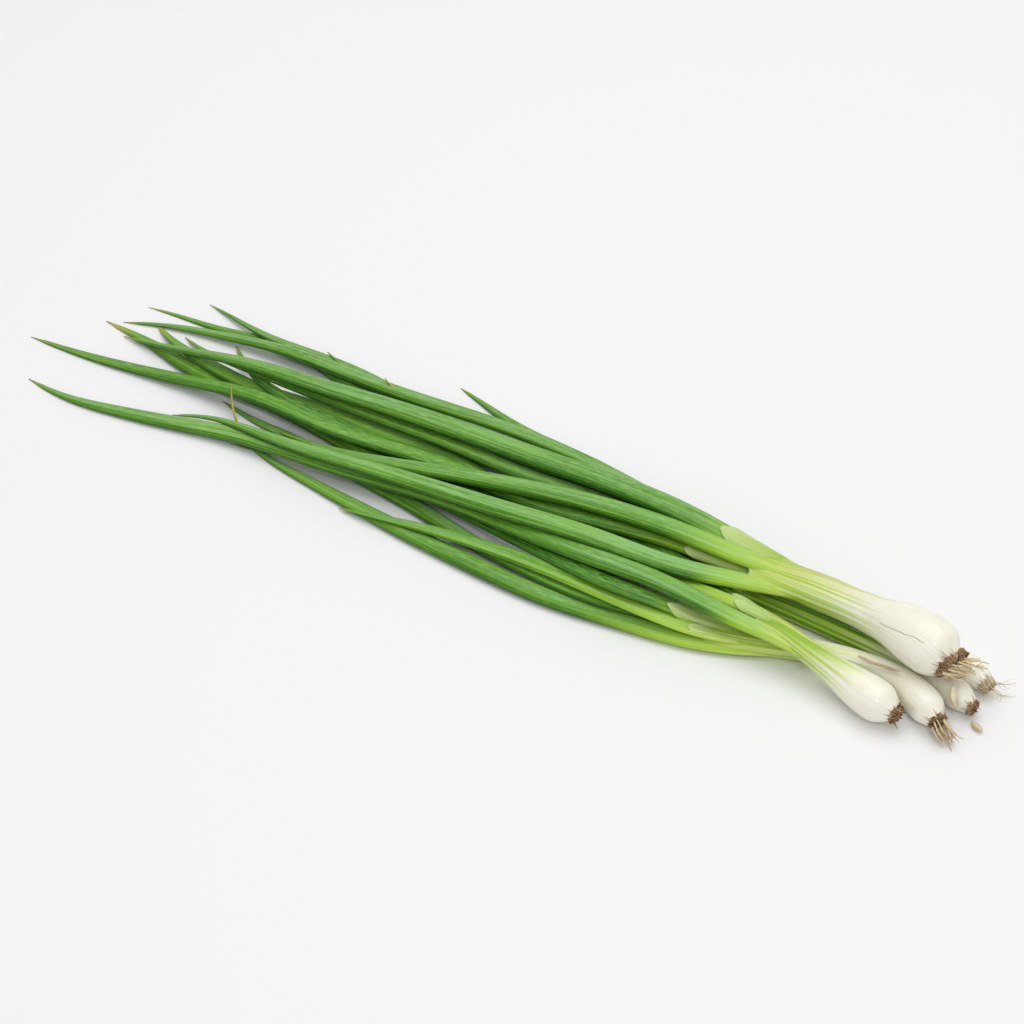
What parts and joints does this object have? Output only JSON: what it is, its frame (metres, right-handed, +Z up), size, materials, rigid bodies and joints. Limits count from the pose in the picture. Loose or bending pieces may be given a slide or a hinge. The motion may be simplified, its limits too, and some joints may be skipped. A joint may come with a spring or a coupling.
{
  "type": "spring onion bunch",
  "caption": "Loose bunch of spring onions lying on its side: white bulbs with root tufts, pale striped necks and long tapering green leaves.",
  "frame": {"origin": "centre of the bunch's footprint, on the surface it lies on", "axes": "+X along the bunch from the leaf tips to the bulbs, +Z up"},
  "size_m": [0.4554, 0.098, 0.0345],
  "materials": {
    "bulb_and_neck": "smooth glossy ivory skin, turning pale green with green stripes towards the leaves",
    "leaf_blade": "satin green with fine lengthwise ribs and a thin whitish bloom",
    "roots": "dull straw-coloured fibres on a dark brown crust",
    "dry_skin": "thin papery skin, cream to ochre"
  },
  "bodies": {
    "root": {"onion_a_bulb": "bulb_and_neck", "onion_a_root_tuft": "roots", "onion_a_leaf_1": "leaf_blade", "onion_a_leaf_2": "leaf_blade", "onion_a_leaf_3": "leaf_blade", "onion_a_leaf_4": "leaf_blade", "onion_b_bulb": "bulb_and_neck", "onion_b_root_tuft": "roots", "onion_b_leaf_1": "leaf_blade", "onion_b_leaf_2": "leaf_blade", "onion_b_leaf_3": "leaf_blade", "onion_b_leaf_4": "leaf_blade", "onion_c_bulb": "bulb_and_neck", "onion_c_root_tuft": "roots", "onion_c_leaf_1": "leaf_blade", "onion_c_leaf_2": "leaf_blade", "onion_c_leaf_3": "leaf_blade", "onion_c_leaf_4": "leaf_blade", "onion_d_bulb": "bulb_and_neck", "onion_d_root_tuft": "roots", "onion_d_leaf_1": "leaf_blade", "onion_d_leaf_2": "leaf_blade", "onion_d_leaf_3": "leaf_blade", "onion_d_leaf_4": "leaf_blade", "onion_e_bulb": "bulb_and_neck", "onion_e_root_tuft": "roots", "onion_e_leaf_1": "leaf_blade", "onion_e_leaf_2": "leaf_blade", "onion_e_leaf_3": "leaf_blade", "onion_e_leaf_4": "leaf_blade", "onion_e_leaf_5": "leaf_blade", "dry_skin_strip": "dry_skin", "dry_skin_flake_large": "dry_skin", "dry_skin_flake_small": "dry_skin"}
  },
  "joints": []
}
